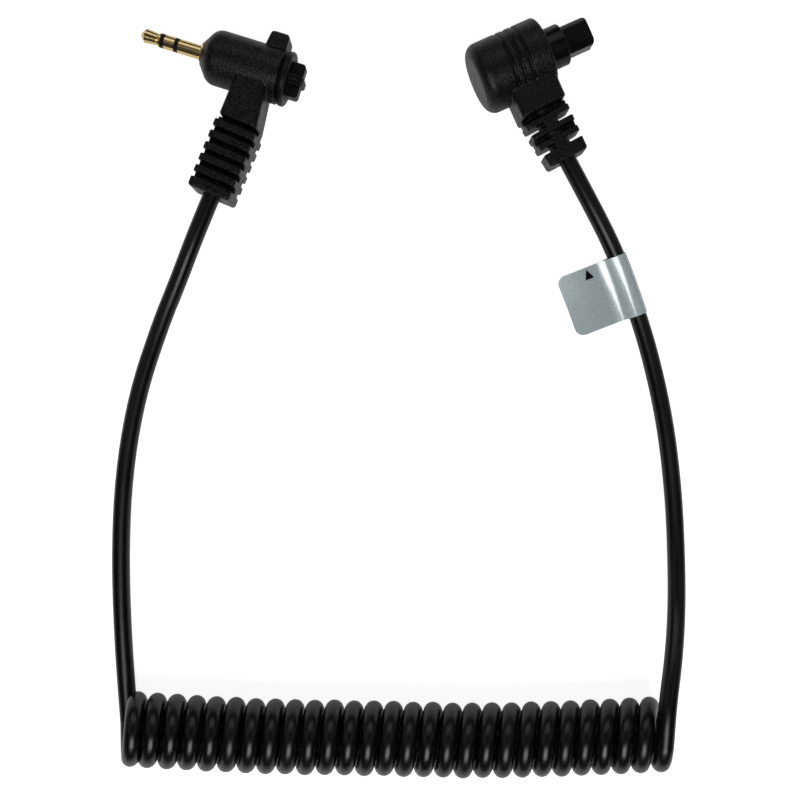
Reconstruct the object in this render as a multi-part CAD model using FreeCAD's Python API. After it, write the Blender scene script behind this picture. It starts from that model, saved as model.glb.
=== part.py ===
"""Electronic cable release, in millimetres.

A curly three-core cord joins a right-angled 2.5 mm jack plug, for the remote, to a right-angled
three-pin plug, for the camera.  It lies on a table at Z = 0, with the coil along X and both plugs
behind it.  Each plug is built about its own pin axis, with x along the pin, the cord leaving
towards -y and z up, and is then laid in its place."""
import FreeCAD
import Part
import math
import os

V = FreeCAD.Vector
X_AXIS, Y_AXIS, Z_AXIS = V(1, 0, 0), V(0, 1, 0), V(0, 0, 1)

# Where the two plugs lie: the pin axis meets the plug's front face here, and turns this far.
REMOTE_AT = V(-29.12, 10.81, 0)
REMOTE_TURN = -17.2
CAMERA_AT = V(31.21, 10.39, 0)
CAMERA_TURN = 24.0

# Cord and coil.
CORD_R = 1.575
COIL_R = 6.35
COIL_LINE = [
    V(-44.13, -108.02, COIL_R), V(-22.33, -109.52, COIL_R), V(1.67, -109.82, COIL_R),
    V(25.67, -110.52, COIL_R), V(53.97, -109.02, COIL_R),
]
SEAT_GAP = 0.2
SEAT_DEPTH = 0.4
JACKET_IN_NECK = 2.0
FIRST_RUN = 7.0
CORE_R = 0.42
CORE_SPREAD = 0.62
CORE_STRAIGHT = 0.9
CORE_CORNER = (1.1, -2.9)
CORE_END_Y = -1.4

# Routes of the two straight leads, from the end of the first run, which is in line with its
# strain relief, to the coil.
REMOTE_ROUTE = [
    V(-33.63, -29.22, 2.9), V(-37.13, -37.02, 1.8), V(-41.43, -49.82, CORD_R), V(-43.83, -64.22, CORD_R),
    V(-44.43, -79.42, CORD_R), V(-43.85, -94.92, CORD_R), V(-42.8, -108.42, CORD_R),
]
CAMERA_ROUTE = [
    V(43.77, -23.42, 4.3), V(47.27, -31.42, 2.7), V(50.87, -41.62, 1.75), V(53.77, -54.42, CORD_R),
    V(55.27, -67.22, CORD_R), V(55.67, -78.32, 2.0), V(55.07, -87.62, 4.5), V(53.4, -95.32, 8.6),
    V(51.7, -102.42, 2 * COIL_R - CORD_R), V(51.2, -109.22, 2 * COIL_R - CORD_R),
]

# Jack plug: the pin, counted from the flange's front towards the tip, and from there backwards.
PIN_R = 1.25
PIN_LENGTH = 11.0
TIP_LENGTH = 3.57
TIP_OUTLINE = [(0.0, 0.45), (0.75, PIN_R), (2.87, 1.03), (2.95, 0.95), (3.05, 0.95), (3.3, PIN_R)]
RING_LENGTH = 1.83
INSULATOR_LENGTH = 0.77
ROD_R = 0.42
TUBE_WALL = 0.20
FLANGE_R = 2.3
FLANGE_FLAT_R = 1.6
FLANGE_CONE = 0.35
FLANGE_LENGTH = 0.55
FERRULE_R = 1.9
FERRULE_END = 2.2
TUBE_STEP = 1.3
LUG_THICKNESS = 0.3
LUG_R = 1.75
LUG_TAB_WIDTH = 1.0
LUG_TAB_REACH = 3.3
LUG_TAB_Z = 1.25

# Jack plug: the mouldings.
BARREL_R = 4.8
BARREL_START = 0.55
BARREL_END = 14.9
BARREL_NOSE_R = 2.45
BARREL_NOSE_END = 2.29
BARREL_NOSE_FILLET = 2.2
END_DISC_START = 15.2
END_DISC_LENGTH = 1.2
END_DISC_FILLET = 0.45
CROSS_PADDLE = (2.25, 6.2, 2.4)
CROSS_PADDLE_ROUND = 0.6
CROSS_RIB = (2.7, 1.0, 6.0)
CROSS_RIB_ROUND = 1.7
REMOTE_CORE_R = 3.9
REMOTE_STUB = (4.6, 4.4)
BUMP_START = 10.2
BUMP_END = 14.6
BUMP_TOP = 7.05
BUMP_HALF_THICK = 2.5
BUMP_SLOPE = 1.15
BUMP_ROUND = 0.8
REMOTE_NECK_X = 10.5
REMOTE_NECK_WIDTHS = (5.24, 7.1)
REMOTE_NECK_THICK = 8.0
REMOTE_NECK_END = 10.4
REMOTE_LEAN = -5.6
NECK_ROUND = 0.9
NECK_END_ROUND = 0.4

# Strain reliefs: widths at the neck and at the end, thickness, number of slots, lengths of a slot,
# a rib and the block at the end, and half the height of the band a slot leaves on either side.
REMOTE_SLEEVE = {"widths": (7.75, 7.75), "thick": 8.0, "slots": 6, "slot": 0.94, "rib": 1.22,
                 "block": 1.7, "band": 1.5}
CAMERA_SLEEVE = {"widths": (8.6, 7.3), "thick": 5.3, "slots": 4, "slot": 1.05, "rib": 1.0,
                 "block": 2.35, "band": 1.1}
SLEEVE_CORE_R = 1.95
SLEEVE_ROOT_R = 2.9
SLEEVE_ROOT = 1.6
SLEEVE_ROUND = 0.8
SLEEVE_END_ROUND = 0.5
SLEEVE_HALF_WEB = 0.95

# Camera plug.
BODY_R = 6.25
BODY_LENGTH = 13.0
BODY_BACK_FILLET = 1.9
BODY_FRONT_FILLET = 0.5
GRIP_GROOVES = 3
GRIP_FIRST = -3.9
GRIP_PITCH = 1.5
GRIP_WIDTH = 0.5
GRIP_DEPTH = 0.35
COLLAR_R = 3.65
COLLAR_LENGTH = 3.6
COLLAR_BORE_R = 2.75
COLLAR_FILLET = 0.3
COLLAR_TAIL = 2.0
COLLAR_TAIL_R = 3.35
NOSE_LENGTH = 4.8
NOSE_HALF_WIDTH = 2.55
NOSE_TOP = 2.3
NOSE_BOTTOM = -1.5
NOSE_CHAMFER = 0.83
NOSE_CORNER = 0.5
KEY_INSET = 0.35
KEY_DEPTH = 0.9
KEY_SETBACK = 0.45
NOSE_SHANK_R = COLLAR_BORE_R
NOSE_BACK = -3.4
CONTACT_PLACES = {"contact_focus": (1.3, 1.0), "contact_shutter": (-1.3, 1.0), "contact_common": (0.0, -0.9)}
CONTACT_R = 0.62
CONTACT_BORE_R = 0.4
CONTACT_BORE_DEPTH = 3.6
CONTACT_RECESS = 0.3
CONTACT_TAIL_R = 0.45
CONTACT_TAIL = 2.2
CAMERA_CORE_R = 4.6
CAMERA_CORE_START = -1.6
CAMERA_CORE_END = -9.6
CAMERA_STUB = (5.2, 4.8)
CAMERA_NECK_X = -4.6
CAMERA_NECK_WIDTHS = (8.4, 8.4)
CAMERA_NECK_THICK = 8.0
CAMERA_NECK_END = 9.5
CAMERA_LEAN = 4.3

# Flag label folded round the camera lead.
LABEL_AT = V(46.78, -29.92, 3.05)
LABEL_TURN = 21.4
LABEL_LENGTH = 11.3
LABEL_REACH = 11.5
LABEL_WRAP_R = 2.0
LABEL_THICK = 0.3
LABEL_CORNER = 1.6


def box(x0, x1, y0, y1, z0, z1):
    """A block between two corners."""
    return Part.makeBox(x1 - x0, y1 - y0, z1 - z0, V(x0, y0, z0))


def rod(radius, x0, x1, bore=0.0, y=0.0, z=0.0):
    """A round bar along x, with an optional bore."""
    solid = Part.makeCylinder(radius, x1 - x0, V(x0, y, z), X_AXIS)
    if bore:
        solid = solid.cut(Part.makeCylinder(bore, x1 - x0, V(x0, y, z), X_AXIS))
    return solid


def turned(profile):
    """A turned piece: the closed outline of (x, radius) points, revolved about x."""
    corners = [V(x, r, 0) for x, r in profile]
    face = Part.Face(Part.makePolygon(corners + corners[:1]))
    return face.revolve(V(0, 0, 0), X_AXIS, 360)


def edges_on_plane(shape, point, normal):
    """The edges that lie in a plane."""
    return [e for e in shape.Edges if all(abs((v.Point - point).dot(normal)) < 1e-6 for v in e.Vertexes)]


def tapered_block(x, widths, length, lean, half_z, rounds):
    """A block along -y from the plug's axis, tapered in plan, its long and end edges rounded.
    Its end is turned by the lean, so that it stands square to the cord."""
    near, far = widths[0] / 2, widths[1] / 2
    turn = FreeCAD.Rotation(Z_AXIS, lean)
    end = V(x, -length, -half_z)
    corners = [V(x - near, 0, -half_z), V(x + near, 0, -half_z),
               end + turn.multVec(V(far, 0, 0)), end - turn.multVec(V(far, 0, 0))]
    block = Part.Face(Part.makePolygon(corners + corners[:1])).extrude(V(0, 0, 2 * half_z))
    along = [e for e in block.Edges if abs(e.tangentAt(e.FirstParameter).y) > 0.9]
    block = block.makeFillet(rounds[0], along)
    return block.makeFillet(rounds[1], edges_on_plane(block, end, turn.multVec(Y_AXIS)))


def joined(shapes):
    """The shapes as one solid, with no seams left between their faces."""
    return shapes[0].fuse(shapes[1:]).removeSplitter()


def without(shape, others):
    """The shape with the others cut out of it."""
    return shape.cut(others)


def unit(vector):
    return V(vector).normalize()


def route_wire(points, straight_start=0.0):
    """Straight runs joined by tangent arcs, each as large as its two runs allow, and their radii.
    A straight start is added before the first point, in line with the first run."""
    first = unit(points[1] - points[0])
    edges = []
    radii = []
    last = points[0] - first * straight_start
    for before, at, after in zip(points, points[1:], points[2:]):
        into, out = unit(at - before), unit(after - at)
        turn = into.getAngle(out)
        reach = 0.45 * min((at - before).Length, (after - at).Length)
        radius = reach / math.tan(turn / 2)
        start, end = at - into * reach, at + out * reach
        middle = at + unit(out - into) * (radius / math.cos(turn / 2) - radius)
        edges.append(Part.makeLine(last, start))
        edges.append(Part.Arc(start, middle, end).toShape())
        radii.append(radius)
        last = end
    edges.append(Part.makeLine(last, points[-1]))
    return Part.Wire(edges), radii


def tube(name, points, radius, straight_start=0.0):
    """A round tube along a route, with its radii printed and its volume checked."""
    wire, radii = route_wire(points, straight_start)
    start = wire.Edges[0].valueAt(wire.Edges[0].FirstParameter)
    ring = Part.Wire(Part.makeCircle(radius, start, points[1] - points[0]))
    solid = wire.makePipeShell([ring], True, False)
    share = solid.Volume / (math.pi * radius**2 * wire.Length)
    print(f"{name}: length {wire.Length:.1f}, volume / (section x length) {share:.4f}")
    print("  radii", [round(r, 1) for r in radii])
    if abs(share - 1) > 0.01:
        raise ValueError(f"{name} is not a plain tube")
    return solid


def laid(shape, at, turn, height):
    """A shape from its plug's frame, turned about Z and laid in its place."""
    placed = shape.copy()
    placed.rotate(V(0, 0, 0), Z_AXIS, turn)
    placed.translate(V(at.x, at.y, height))
    return placed


def leaned(shape, x, y, lean):
    """A shape made along -y from the origin, moved to the neck's end and leaned in the plane."""
    moved = shape.copy()
    moved.rotate(V(0, 0, 0), Z_AXIS, lean)
    moved.translate(V(x, y, 0))
    return moved


def point_on_cord(x, y, lean, along, side=0.0, z=0.0):
    """A point of the leaned cord, so far along its axis from the neck's end."""
    turn = FreeCAD.Rotation(Z_AXIS, lean)
    return V(x, y, 0) + turn.multVec(V(side, -along, z))


# ---- strain reliefs

def sleeve_length(sleeve):
    """From the neck's end to the sleeve's own end."""
    return sleeve["slots"] * sleeve["slot"] + (sleeve["slots"] - 1) * sleeve["rib"] + sleeve["block"]


def cord_rod(radius, start, end):
    """A round bar along -y, between two distances from the neck's end."""
    return Part.makeCylinder(radius, end - start, V(0, -start, 0), V(0, -1, 0))


def slot_span(sleeve, number):
    """The two ends of a slot along y."""
    start = -number * (sleeve["slot"] + sleeve["rib"])
    return start - sleeve["slot"], start


def slot_above_and_below(sleeve, y0, y1):
    """One slot cut the full width from above and from below, down to the band at mid-height."""
    far, band = sleeve["widths"][0], sleeve["band"]
    return [box(-far, far, y0, y1, band, far), box(-far, far, y0, y1, -far, -band)]


def slot_from_sides(sleeve, y0, y1):
    """One slot cut the full height from both sides, down to the web in the middle."""
    far, web = sleeve["widths"][0], SLEEVE_HALF_WEB
    return [box(-far, -web, y0, y1, -far, far), box(web, far, y0, y1, -far, far)]


def slots_alike(sleeve):
    """Slots of the jack plug's sleeve, all from above and below."""
    cuts = []
    for number in range(sleeve["slots"]):
        cuts += slot_above_and_below(sleeve, *slot_span(sleeve, number))
    return cuts[0].fuse(cuts[1:])


def slots_in_turn(sleeve):
    """Slots of the camera plug's sleeve, above and below, then from the sides, in turn."""
    cuts = []
    for number in range(sleeve["slots"]):
        cut = slot_from_sides if number % 2 else slot_above_and_below
        cuts += cut(sleeve, *slot_span(sleeve, number))
    return cuts[0].fuse(cuts[1:])


def strain_relief(sleeve, cut_slots):
    """A moulded sleeve along -y that stiffens the cord where it leaves its plug, with a root that
    the neck is moulded round."""
    length = sleeve_length(sleeve)
    rounds = (SLEEVE_ROUND, SLEEVE_END_ROUND)
    bar = tapered_block(0, sleeve["widths"], length, 0, sleeve["thick"] / 2, rounds)
    root = cord_rod(SLEEVE_ROOT_R, -SLEEVE_ROOT, sleeve["slot"])
    core = cord_rod(SLEEVE_CORE_R, -SLEEVE_ROOT, length)
    solid = joined([bar, root]).cut(cut_slots(sleeve).cut(core))
    return solid.cut(cord_rod(CORD_R, -SLEEVE_ROOT, length))


def core_stub(x, size, neck_end):
    """The part of an inner moulding that reaches into the neck, down to the jacket's end."""
    half_w, half_t = size[0] / 2, size[1] / 2
    return box(x - half_w, x + half_w, -neck_end + JACKET_IN_NECK, 0, -half_t, half_t)


# ---- core wires

def core_starts(x, y, lean):
    """Where the three cores leave the jacket, and one point further on, in the plug's frame."""
    starts = []
    for angle in (60, 180, 300):
        side = CORE_SPREAD * math.cos(math.radians(angle))
        z = CORE_SPREAD * math.sin(math.radians(angle))
        starts.append([point_on_cord(x, y, lean, along, side, z) for along in (0, -CORE_STRAIGHT)])
    return starts


# ---- jack plug

def jack_stations():
    """Where the jack's pieces meet, from the tip to the flange."""
    tip_end = -PIN_LENGTH + TIP_LENGTH
    ring_start = tip_end + INSULATOR_LENGTH
    ring_end = ring_start + RING_LENGTH
    sleeve_start = ring_end + INSULATOR_LENGTH
    return tip_end, ring_start, ring_end, sleeve_start


def jack_tube_radii():
    """Outer radii of the tip's bush, the ring's tube and the ring's bush, one round the other."""
    return [ROD_R + n * TUBE_WALL for n in (1, 2, 3)]


def lug_stations():
    """Where the three lugs sit, behind the ferrule: the sleeve's, the ring's and the tip's."""
    return [FERRULE_END + n * TUBE_STEP for n in range(3)]


def jack_tip():
    """The tip and its rod, which runs through the whole pin to its lug."""
    tip, tip_end = -PIN_LENGTH, -PIN_LENGTH + TIP_LENGTH
    outline = [(tip + x, r) for x, r in TIP_OUTLINE]
    nose = turned([(tip, 0), *outline, (tip_end, PIN_R), (tip_end, 0)])
    return joined([nose, rod(ROD_R, tip_end, lug_stations()[2] + TUBE_STEP)])


def jack_sleeve(start, bore):
    """The pin's rear contact, with the flange that stops it and the ferrule behind."""
    return turned([
        (start, bore), (start, PIN_R), (0, PIN_R), (0, FLANGE_FLAT_R), (FLANGE_CONE, FLANGE_R),
        (FLANGE_LENGTH, FLANGE_R), (FLANGE_LENGTH, FERRULE_R), (FERRULE_END, FERRULE_R),
        (FERRULE_END, bore),
    ])


def jack_pin():
    """The pin's five stacked pieces, each on a longer tube than the one outside it."""
    tip_end, ring_start, ring_end, sleeve_start = jack_stations()
    bush_r, ring_tube_r, ring_bush_r = jack_tube_radii()
    ring_lug, tip_lug = lug_stations()[1:]
    return {
        "jack_tip": jack_tip(),
        "jack_tip_insulator": joined([
            rod(PIN_R, tip_end, ring_start, ROD_R), rod(bush_r, ring_start, tip_lug, ROD_R)]),
        "jack_ring": joined([
            rod(PIN_R, ring_start, ring_end, bush_r),
            rod(ring_tube_r, ring_end, tip_lug - TUBE_STEP / 2, bush_r)]),
        "jack_ring_insulator": joined([
            rod(PIN_R, ring_end, sleeve_start, ring_tube_r),
            rod(ring_bush_r, sleeve_start, ring_lug - TUBE_STEP / 4, ring_tube_r)]),
        "jack_sleeve": jack_sleeve(sleeve_start, ring_bush_r),
    }


def solder_lug(x, hole_r, z):
    """A washer with a tab towards the neck, which a core is soldered to."""
    half = LUG_TAB_WIDTH / 2
    washer = rod(LUG_R, x, x + LUG_THICKNESS)
    tab = box(x, x + LUG_THICKNESS, -LUG_TAB_REACH, 0, z - half, z + half)
    return joined([washer, tab]).cut(rod(hole_r, x, x + LUG_THICKNESS))


def jack_lugs():
    """The three solder lugs, each behind its own contact's tube."""
    sleeve_lug, ring_lug, tip_lug = lug_stations()
    bush_r, ring_tube_r, ring_bush_r = jack_tube_radii()
    return {
        "jack_sleeve_lug": solder_lug(sleeve_lug, ring_bush_r, 0.0),
        "jack_ring_lug": solder_lug(ring_lug, ring_tube_r, LUG_TAB_Z),
        "jack_tip_lug": solder_lug(tip_lug, ROD_R, -LUG_TAB_Z),
    }


def remote_cores():
    """The three cores of the jack plug, from the jacket to the lugs' tabs."""
    starts = core_starts(REMOTE_NECK_X, -REMOTE_NECK_END + JACKET_IN_NECK, REMOTE_LEAN)
    wires = {}
    plan = {"remote_core_common": (1, 0, 0.0), "remote_core_focus": (0, 1, LUG_TAB_Z),
            "remote_core_shutter": (2, 2, -LUG_TAB_Z)}
    for name, (core, lug, z) in plan.items():
        x = lug_stations()[lug] + LUG_THICKNESS + CORE_R
        corner = V(REMOTE_NECK_X - CORE_CORNER[0], CORE_CORNER[1], z)
        before = V(x, CORE_CORNER[1], z)
        wires[name] = tube(name, [*starts[core], corner, before, V(x, CORE_END_Y, z)], CORE_R)
    return wires


def lug_bump():
    """The rounded lug on the barrel, opposite the neck."""
    side = [
        V(BUMP_START, 0, -BUMP_HALF_THICK), V(BUMP_START + BUMP_SLOPE, BUMP_TOP, -BUMP_HALF_THICK),
        V(BUMP_END, BUMP_TOP, -BUMP_HALF_THICK), V(BUMP_END, 0, -BUMP_HALF_THICK),
    ]
    bump = Part.Face(Part.makePolygon(side + side[:1])).extrude(V(0, 0, 2 * BUMP_HALF_THICK))
    top_edges = [e for e in bump.Edges if e.BoundBox.YMin > BUMP_TOP - 1e-6]
    return bump.makeFillet(BUMP_ROUND, top_edges)


def remote_barrel():
    """The outside of the jack plug's barrel, with its rounded nose."""
    barrel = turned([
        (BARREL_START, 0), (BARREL_START, BARREL_NOSE_R), (BARREL_NOSE_END, BARREL_R),
        (BARREL_END, BARREL_R), (BARREL_END, 0),
    ])
    shoulder = [
        e for e in barrel.Edges
        if abs(e.BoundBox.XMin - BARREL_NOSE_END) < 1e-6 and abs(e.BoundBox.XMax - BARREL_NOSE_END) < 1e-6
    ]
    return barrel.makeFillet(BARREL_NOSE_FILLET, shoulder)


def end_cross():
    """The paddle and the rib across it, which stand on the jack plug's end disc."""
    start = END_DISC_START + END_DISC_LENGTH
    paddle_l, paddle_w, paddle_t = CROSS_PADDLE
    rib_l, rib_w, rib_t = CROSS_RIB
    paddle = box(start, start + paddle_l, -paddle_w / 2, paddle_w / 2, -paddle_t / 2, paddle_t / 2)
    corners = [
        e for e in paddle.Edges
        if e.BoundBox.XMin > start + paddle_l - 1e-6 and e.BoundBox.ZLength > paddle_t / 2
    ]
    rib = box(start, start + rib_l, -rib_w / 2, rib_w / 2, -rib_t / 2, rib_t / 2)
    rib_corners = [
        e for e in rib.Edges
        if e.BoundBox.XMin > start + rib_l - 1e-6 and e.BoundBox.YLength > rib_w / 2
    ]
    return [paddle.makeFillet(CROSS_PADDLE_ROUND, corners), rib.makeFillet(CROSS_RIB_ROUND, rib_corners)]


def remote_mouldings(inside, sleeve, jacket):
    """The hard inner moulding, whose end disc and cross stay in sight, and the soft outer one."""
    disc = rod(BARREL_R, END_DISC_START, END_DISC_START + END_DISC_LENGTH)
    disc = disc.makeFillet(END_DISC_FILLET, [e for e in disc.Edges if e.Curve.TypeId == "Part::GeomCircle"])
    core = rod(REMOTE_CORE_R, FERRULE_END, END_DISC_START)
    stub = core_stub(REMOTE_NECK_X, REMOTE_STUB, REMOTE_NECK_END)
    inner = without(joined([core, disc, stub, *end_cross()]), inside + [jacket])
    rounds = (NECK_ROUND, NECK_END_ROUND)
    half_t = REMOTE_NECK_THICK / 2
    neck = tapered_block(REMOTE_NECK_X, REMOTE_NECK_WIDTHS, REMOTE_NECK_END, REMOTE_LEAN, half_t, rounds)
    outer = joined([remote_barrel(), neck, lug_bump()])
    outer = without(outer, inside + [joined([core, disc, stub]), sleeve, jacket])
    return {"remote_inner_moulding": inner, "remote_overmould": outer}


# ---- camera plug

def camera_nose():
    """The nose that enters the camera, with its key and its shank, and holes for the contacts."""
    x0, x1 = COLLAR_LENGTH, COLLAR_LENGTH + NOSE_LENGTH
    block = box(x0, x1, -NOSE_HALF_WIDTH, NOSE_HALF_WIDTH, NOSE_BOTTOM, NOSE_TOP)
    top_edges = [
        e for e in block.Edges
        if e.BoundBox.ZMin > NOSE_TOP - 1e-6 and e.BoundBox.XLength > NOSE_LENGTH / 2
    ]
    block = block.makeChamfer(NOSE_CHAMFER, top_edges)
    corners = [
        e for e in block.Edges
        if e.BoundBox.XMin > x1 - 1e-6 and e.BoundBox.YLength < 1e-6
    ]
    block = block.makeFillet(NOSE_CORNER, corners)
    key_half = NOSE_HALF_WIDTH - KEY_INSET
    key = box(x0, x1 - KEY_SETBACK, -key_half, key_half, NOSE_BOTTOM - KEY_DEPTH, NOSE_BOTTOM)
    shank = rod(NOSE_SHANK_R, NOSE_BACK, x0)
    return joined([block, key, shank])


def camera_collar():
    """The round collar behind the nose, with a narrower tail inside the body."""
    ring = rod(COLLAR_R, 0, COLLAR_LENGTH)
    rim = [e for e in ring.Edges if e.BoundBox.XMin > COLLAR_LENGTH - 1e-6]
    ring = ring.makeFillet(COLLAR_FILLET, rim)
    tail = rod(COLLAR_TAIL_R, -COLLAR_TAIL, 0)
    return joined([ring, tail]).cut(rod(COLLAR_BORE_R, -COLLAR_TAIL, COLLAR_LENGTH))


def camera_contact(y, z):
    """A female contact: a bored barrel, with a thinner solder tail behind it."""
    front = COLLAR_LENGTH + NOSE_LENGTH - CONTACT_RECESS
    barrel = rod(CONTACT_R, NOSE_BACK, front, y=y, z=z)
    bore = rod(CONTACT_BORE_R, front - CONTACT_BORE_DEPTH, front, y=y, z=z)
    tail = rod(CONTACT_TAIL_R, NOSE_BACK - CONTACT_TAIL, NOSE_BACK, y=y, z=z)
    return joined([barrel, tail]).cut(bore)


def contact_way(y, z):
    """The hole that a contact sits in, open at the nose's tip."""
    return rod(CONTACT_R, NOSE_BACK, COLLAR_LENGTH + NOSE_LENGTH, y=y, z=z)


def camera_cores():
    """The three cores of the camera plug, from the jacket to the contacts' tails."""
    starts = core_starts(CAMERA_NECK_X, -CAMERA_NECK_END + JACKET_IN_NECK, CAMERA_LEAN)
    end_x = NOSE_BACK - CONTACT_TAIL
    plan = {"camera_core_shutter": (0, "contact_shutter", 0.9),
            "camera_core_focus": (1, "contact_focus", 3.0),
            "camera_core_common": (2, "contact_common", 1.5)}
    wires = {}
    for name, (core, contact, swing) in plan.items():
        y, z = CONTACT_PLACES[contact]
        end = V(end_x, y, z)
        before = V(end_x - swing, y - 0.4, z)
        wires[name] = tube(name, [*starts[core], before, end], CORE_R)
    return wires


def camera_mouldings(inside, collar, sleeve, jacket):
    """The hard inner moulding round the contacts' tails, and the soft grooved body over it."""
    core = rod(CAMERA_CORE_R, CAMERA_CORE_END, CAMERA_CORE_START)
    core = joined([core, core_stub(CAMERA_NECK_X, CAMERA_STUB, CAMERA_NECK_END)])
    inner = without(core, inside + [collar, jacket])
    body = rod(BODY_R, -BODY_LENGTH, 0)
    back = [e for e in body.Edges if e.BoundBox.XMax < -BODY_LENGTH + 1e-6]
    body = body.makeFillet(BODY_BACK_FILLET, back)
    front = [e for e in body.Edges if e.BoundBox.XMin > -1e-6]
    body = body.makeFillet(BODY_FRONT_FILLET, front)
    for number in range(GRIP_GROOVES):
        start = GRIP_FIRST - number * GRIP_PITCH - GRIP_WIDTH
        body = body.cut(rod(BODY_R + 1, start, start + GRIP_WIDTH, BODY_R - GRIP_DEPTH))
    rounds = (NECK_ROUND, NECK_END_ROUND)
    half_t = CAMERA_NECK_THICK / 2
    neck = tapered_block(CAMERA_NECK_X, CAMERA_NECK_WIDTHS, CAMERA_NECK_END, CAMERA_LEAN, half_t, rounds)
    outer = without(joined([body, neck]), inside + [core, collar, sleeve, jacket])
    return {"camera_inner_moulding": inner, "camera_overmould": outer}


# ---- cord

def lead(name, leaving, route):
    """A straight lead: the jacket's clamped end inside the plug, then the free route."""
    exit_at, along, inside = leaving
    return tube(name, [exit_at, exit_at + along * FIRST_RUN] + route, CORD_R, inside)


def coil():
    """The coil's outer shape: one fat tube, with a seat at each end where its lead runs in."""
    solid = tube("cord_coil", COIL_LINE, COIL_R)
    far = 4 * COIL_R
    remote_end, camera_end = REMOTE_ROUTE[-1], CAMERA_ROUTE[-1]
    low_seat = box(remote_end.x - far, remote_end.x + CORD_R + SEAT_GAP, remote_end.y - SEAT_GAP,
                   remote_end.y + far, -far, remote_end.z + CORD_R + SEAT_GAP)
    high_seat = box(camera_end.x - CORD_R - SEAT_DEPTH, camera_end.x + far, camera_end.y - SEAT_GAP,
                    camera_end.y + far, camera_end.z - CORD_R - SEAT_DEPTH, far)
    return solid.cut([low_seat, high_seat])


def flag_label(lead_solid):
    """A foil label folded round the lead, its two halves glued into one flag."""
    half = LABEL_LENGTH / 2
    flag = box(-LABEL_REACH, 0, -half, half, -LABEL_THICK / 2, LABEL_THICK / 2)
    corners = [
        e for e in flag.Edges
        if e.BoundBox.XMax < -LABEL_REACH + 1e-6 and e.BoundBox.ZLength > LABEL_THICK / 2
    ]
    flag = flag.makeFillet(LABEL_CORNER, corners)
    wrap = Part.makeCylinder(LABEL_WRAP_R, LABEL_LENGTH, V(0, -half, 0), Y_AXIS)
    label = laid(joined([flag, wrap]), LABEL_AT, LABEL_TURN, LABEL_AT.z)
    return label.cut(lead_solid)


# ---- the whole object

def remote_plug():
    """Every piece of the jack plug, in its place, and where its cord leaves."""
    x, y = REMOTE_NECK_X, -REMOTE_NECK_END
    length = sleeve_length(REMOTE_SLEEVE)
    sleeve = leaned(strain_relief(REMOTE_SLEEVE, slots_alike), x, y, REMOTE_LEAN)
    jacket = leaned(Part.makeCylinder(CORD_R, JACKET_IN_NECK, V(0, 0, 0), Y_AXIS), x, y, REMOTE_LEAN)
    pieces = {**jack_pin(), **jack_lugs(), **remote_cores()}
    pieces.update(remote_mouldings(list(pieces.values()), sleeve, jacket))
    pieces["remote_strain_relief"] = sleeve
    return pieces, point_on_cord(x, y, REMOTE_LEAN, length), length + JACKET_IN_NECK


def camera_plug():
    """Every piece of the camera plug, in its place, and where its cord leaves."""
    x, y = CAMERA_NECK_X, -CAMERA_NECK_END
    length = sleeve_length(CAMERA_SLEEVE)
    sleeve = leaned(strain_relief(CAMERA_SLEEVE, slots_in_turn), x, y, CAMERA_LEAN)
    jacket = leaned(Part.makeCylinder(CORD_R, JACKET_IN_NECK, V(0, 0, 0), Y_AXIS), x, y, CAMERA_LEAN)
    collar = camera_collar()
    contacts = {name: camera_contact(*place) for name, place in CONTACT_PLACES.items()}
    nose = without(camera_nose(), [contact_way(*place) for place in CONTACT_PLACES.values()])
    pieces = {"camera_nose": nose, **contacts, **camera_cores()}
    pieces.update(camera_mouldings(list(pieces.values()), collar, sleeve, jacket))
    pieces["camera_collar"] = collar
    pieces["camera_strain_relief"] = sleeve
    return pieces, point_on_cord(x, y, CAMERA_LEAN, length), length + JACKET_IN_NECK


def placed_plug(plug, at, turn, lean, height):
    """A plug's pieces laid on the table, and its cord's exit, direction and length inside."""
    pieces, exit_at, inside = plug
    exit_at = FreeCAD.Rotation(Z_AXIS, turn).multVec(exit_at) + V(at.x, at.y, height)
    along = FreeCAD.Rotation(Z_AXIS, turn + lean).multVec(V(0, -1, 0))
    placed = {name: laid(shape, at, turn, height) for name, shape in pieces.items()}
    return placed, (exit_at, along, inside)


def save(name, shape):
    """One STEP file per piece, which has to be one valid solid."""
    if len(shape.Solids) != 1 or not shape.isValid():
        raise ValueError(f"{name}: {len(shape.Solids)} solids, valid {shape.isValid()}")
    shape.Solids[0].exportStep(f"parts/{name}.step")


def main():
    os.makedirs("parts", exist_ok=True)
    remote, remote_leaving = placed_plug(remote_plug(), REMOTE_AT, REMOTE_TURN, REMOTE_LEAN, BARREL_R)
    camera, camera_leaving = placed_plug(camera_plug(), CAMERA_AT, CAMERA_TURN, CAMERA_LEAN, BODY_R)
    plugs = {**remote, **camera}
    size = Part.makeCompound(list(plugs.values())).optimalBoundingBox(False)
    print("plugs", [round(v, 3) for v in (size.XMin, size.XMax, size.YMin, size.YMax, size.ZMin, size.ZMax)])
    print("cords leave at", remote_leaving, camera_leaving)
    camera_lead = lead("camera_lead", camera_leaving, CAMERA_ROUTE)
    cord = {
        "remote_lead": lead("remote_lead", remote_leaving, REMOTE_ROUTE),
        "cord_coil": coil(),
        "camera_lead": camera_lead,
        "flag_label": flag_label(camera_lead),
    }
    for name, shape in {**plugs, **cord}.items():
        save(name, shape)
    print(len(plugs) + len(cord), "pieces")


main()
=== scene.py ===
"""Looks of the electronic cable release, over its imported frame. Metres throughout."""

import math

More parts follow.
